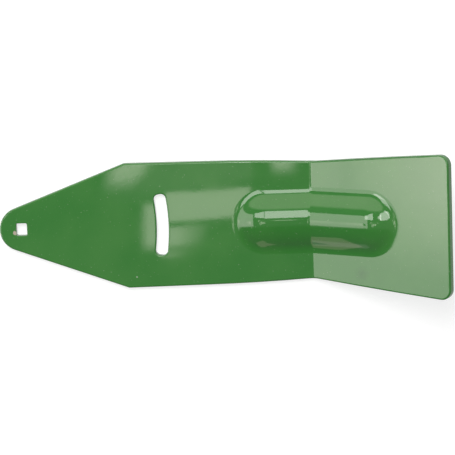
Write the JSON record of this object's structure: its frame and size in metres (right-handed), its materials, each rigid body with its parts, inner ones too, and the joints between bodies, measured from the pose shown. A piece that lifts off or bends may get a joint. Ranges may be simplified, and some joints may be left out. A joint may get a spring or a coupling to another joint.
{
  "type": "deflector plate",
  "caption": "Painted steel deflector plate: flat arm with a square pivot hole and a curved adjusting slot, folded up into a flared flap, stiffened by a round-ended bead across the fold.",
  "frame": {"origin": "centre of the square pivot hole, on the underside of the arm", "axes": "+X along the arm from the pivot hole towards the flap, +Z square to the arm on the side where the bead stands up, +Y across the plate"},
  "size_m": [0.4756, 0.1502, 0.0877],
  "materials": {
    "green_paint": "glossy green paint"
  },
  "bodies": {
    "root": {"deflector_plate": "green_paint"}
  },
  "joints": []
}
